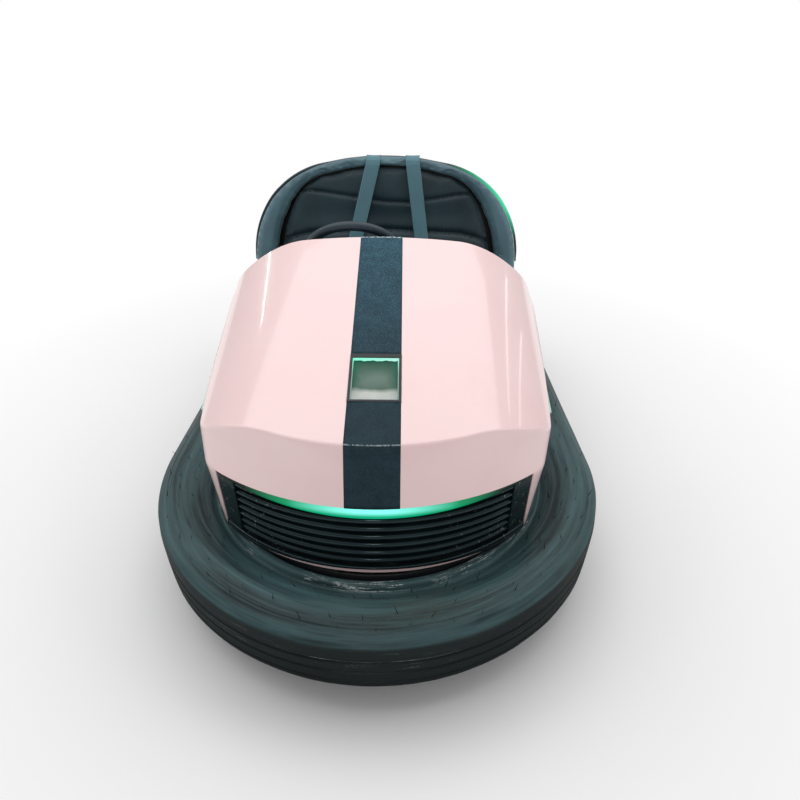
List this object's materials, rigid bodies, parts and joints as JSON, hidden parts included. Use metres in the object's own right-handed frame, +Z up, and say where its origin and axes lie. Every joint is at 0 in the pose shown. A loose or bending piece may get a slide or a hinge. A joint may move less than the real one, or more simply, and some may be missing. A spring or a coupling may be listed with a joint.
{
  "type": "bumper car",
  "caption": "Fairground bumper car with a rubber tyre all round, bonnet with a lit window, louvred grille, padded seat back, steering wheel and a turning drive unit.",
  "frame": {"origin": "on the floor under the middle of the car's outline", "axes": "+Y towards the tail, so the nose points to -Y; +X to the right as seen from the front; +Z up"},
  "size_m": [1.2002, 1.9002, 0.9004],
  "materials": {
    "pink_shell": "pastel pink gel coat, glossy",
    "black_gloss": "gloss black",
    "green_light": "lit light strip",
    "window_lens": "frosted towards the foot",
    "light_box": "white moulding",
    "bumper_rubber": "blue-black rubber, scuffed and dusty",
    "wheel_rubber": "solid black rubber",
    "black_steel": "black paint",
    "grey_steel": "grey primer paint",
    "motor_black": "black cast housing",
    "cast_hub": "cast",
    "axle_steel": "turned bar",
    "tub_black": "black glass fibre",
    "mat_rubber": "moulded",
    "grip_rubber": "soft grip",
    "seat_vinyl": "blue-black sewn vinyl",
    "border_vinyl": "blue-black sewn vinyl, a little lighter",
    "belt_webbing": "woven black webbing",
    "red_lamp": "red moulded lamp",
    "battery_case": "black case"
  },
  "bodies": {
    "chassis": {"back_board": "tub_black", "back_border": "border_vinyl", "back_led_strip": "green_light", "back_pad": "seat_vinyl", "battery_block": "battery_case", "belt_left": "belt_webbing", "belt_right": "belt_webbing", "body_tub": "tub_black", "bulkhead": "tub_black", "bumper_tyre": "bumper_rubber", "chassis_rails": "black_steel", "dash_panel": "tub_black", "drive_bridge": "black_steel", "floor_pan": "black_steel", "footwell_mat": "mat_rubber", "front_led_strip": "green_light", "grille_housing": "black_gloss", "grille_slats": "black_gloss", "light_box": "light_box", "nose_shell": "pink_shell", "pedal": "mat_rubber", "rear_axle": "axle_steel", "seat_base": "tub_black", "seat_cushion": "seat_vinyl", "side_led_strips": "green_light", "side_panel_left": "pink_shell", "side_panel_right": "pink_shell", "steering_column": "black_steel", "tail_lamps": "red_lamp", "tail_shell": "pink_shell", "tyre_hoop": "black_steel", "window_frame": "black_gloss", "window_lens": "window_lens", "window_light_ring": "green_light"},
    "drive_unit": {"drive_fork": "grey_steel", "drive_motor": "motor_black"},
    "drive_wheel": {"drive_hub": "cast_hub", "drive_tyre": "wheel_rubber"},
    "rear_wheel_left": {"rear_hub_left": "cast_hub", "rear_tyre_left": "wheel_rubber"},
    "rear_wheel_right": {"rear_hub_right": "cast_hub", "rear_tyre_right": "wheel_rubber"},
    "steering_wheel": {"wheel_spider": "black_steel", "wheel_rim": "grip_rubber"}
  },
  "joints": [
    {"name": "drive_unit_turn", "type": "hinge", "parent": "chassis", "child": "drive_unit", "pos_m": [0, -0.45, 0.25], "axis": [0, 0, 1], "continuous": true},
    {"name": "drive_wheel_spin", "type": "hinge", "parent": "drive_unit", "child": "drive_wheel", "pos_m": [0, -0.45, 0.11], "axis": [1, 0, 0], "continuous": true},
    {"name": "rear_wheel_left_spin", "type": "hinge", "parent": "chassis", "child": "rear_wheel_left", "pos_m": [-0.27, 0.505, 0.1], "axis": [1, 0, 0], "continuous": true},
    {"name": "rear_wheel_right_spin", "type": "hinge", "parent": "chassis", "child": "rear_wheel_right", "pos_m": [0.27, 0.505, 0.1], "axis": [1, 0, 0], "continuous": true},
    {"name": "steering_wheel_turn", "type": "hinge", "parent": "chassis", "child": "steering_wheel", "pos_m": [-0.09, 0.16, 0.655], "axis": [0, 0.848, 0.5299], "continuous": true}
  ],
  "couplings": [
    {"joint": "steering_wheel_turn", "follows": "drive_unit_turn", "ratio": 1}
  ]
}
